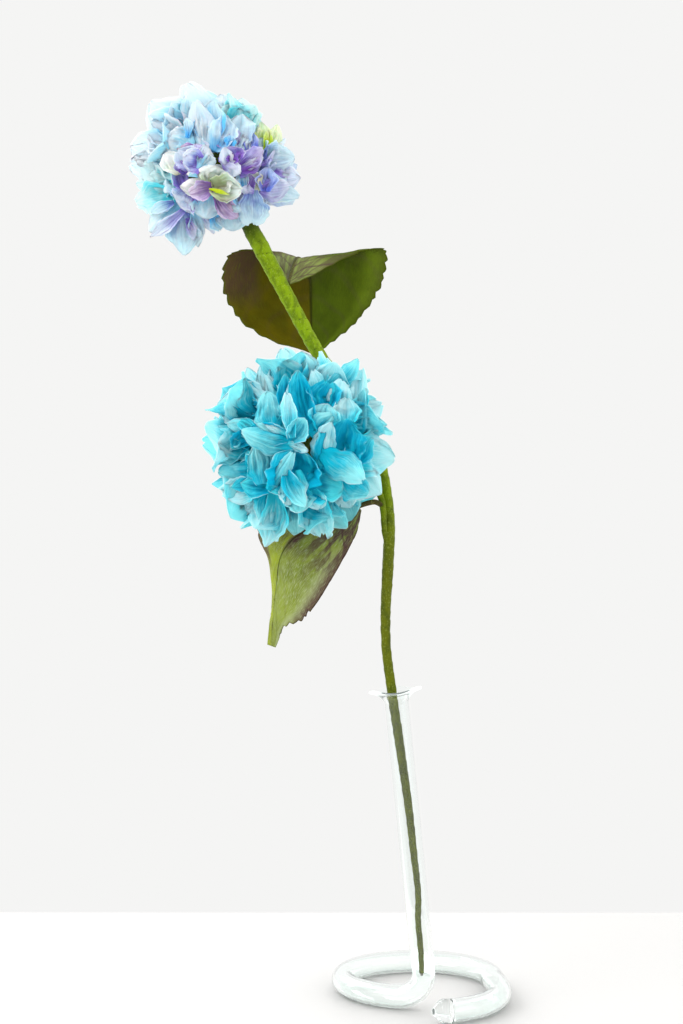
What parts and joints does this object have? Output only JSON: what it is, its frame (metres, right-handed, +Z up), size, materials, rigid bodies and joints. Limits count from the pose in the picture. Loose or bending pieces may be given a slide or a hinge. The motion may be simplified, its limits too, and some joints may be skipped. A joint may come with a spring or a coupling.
{
  "type": "crepe-paper hydrangeas in a glass bud vase",
  "caption": "Crepe-paper hydrangeas, turquoise and lavender, with large leaves on a wrapped wire stem in a clear glass tube vase with a coiled foot.",
  "frame": {"origin": "centre of the bounding box, at its bottom, on the table", "axes": "+Z up along the vase's tube; the picture looks along +Y with +X to the right"},
  "size_m": [0.2308, 0.1568, 0.5602],
  "materials": {
    "clear_glass": "polished",
    "green_wrap": "matte",
    "stem_wire": "satin",
    "dark_leaf_paper": "matte",
    "silver_leaf_paper": "matte",
    "turquoise_petal_paper": "matte",
    "lavender_petal_paper": "matte"
  },
  "bodies": {
    "root": {"glass_vase": "clear_glass", "main_stem_wrap": "green_wrap", "main_stem_wire": "stem_wire", "branch_stem_wrap": "green_wrap", "branch_stem_wire": "stem_wire", "upper_leaf": "dark_leaf_paper", "lower_leaf": "silver_leaf_paper", "lower_head": "turquoise_petal_paper", "upper_head": "lavender_petal_paper"}
  },
  "joints": []
}
